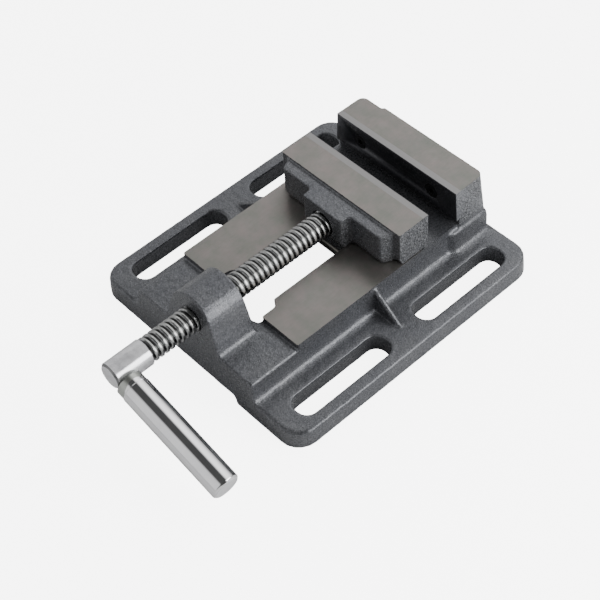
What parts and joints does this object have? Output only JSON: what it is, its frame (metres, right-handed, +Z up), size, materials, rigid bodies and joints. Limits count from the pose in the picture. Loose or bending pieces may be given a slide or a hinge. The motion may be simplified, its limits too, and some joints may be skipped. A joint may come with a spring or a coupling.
{
  "type": "drill press vise",
  "caption": "Cast drill press vise: slotted base with fixed jaw and ways, screw-driven sliding jaw, steel jaw plates and a one-sided handle.",
  "frame": {"origin": "on the underside of the base, on the centre line, straight below the fixed jaw's gripping face", "axes": "+Z up; X across the jaws; +Y along the lead screw from the handle towards the fixed jaw, so the handle is at -Y and the movable jaw closes towards +Y"},
  "size_m": [0.1776, 0.2528, 0.0601],
  "materials": {
    "cast": "dark grey cast coating with ground ways and jaw tops",
    "plate": "ground steel, darkened gripping face",
    "zinc": "bright zinc plated",
    "chrome": "polished chrome",
    "black": "black oxide"
  },
  "bodies": {
    "base": {"base_casting": "cast", "fixed_jaw_plate": "plate", "jaw_plate_screw_1": "black", "jaw_plate_screw_2": "black"},
    "jaw": {"movable_jaw": "cast", "movable_jaw_plate": "plate", "jaw_plate_screw_3": "black", "jaw_plate_screw_4": "black", "keeper_plate": "black", "keeper_washer_left": "zinc", "keeper_washer_right": "zinc", "keeper_bolt_left": "black", "keeper_bolt_right": "black", "thrust_washer": "zinc"},
    "screw": {"lead_screw": "zinc", "handle_bar": "chrome", "retaining_ring": "black"}
  },
  "joints": [
    {"name": "jaw_slide", "type": "slide", "parent": "base", "child": "jaw", "axis": [0, 1, 0], "range_m": [-0.07301, 0.02221]},
    {"name": "screw_turn", "type": "hinge", "parent": "jaw", "child": "screw", "pos_m": [0, -0.2207, 0.0425], "axis": [0, 1, 0], "range_deg": [-7008, 2131]}
  ],
  "couplings": [
    {"joint": "jaw_slide", "follows": "screw_turn", "m_per_rad": 0.00059683}
  ]
}
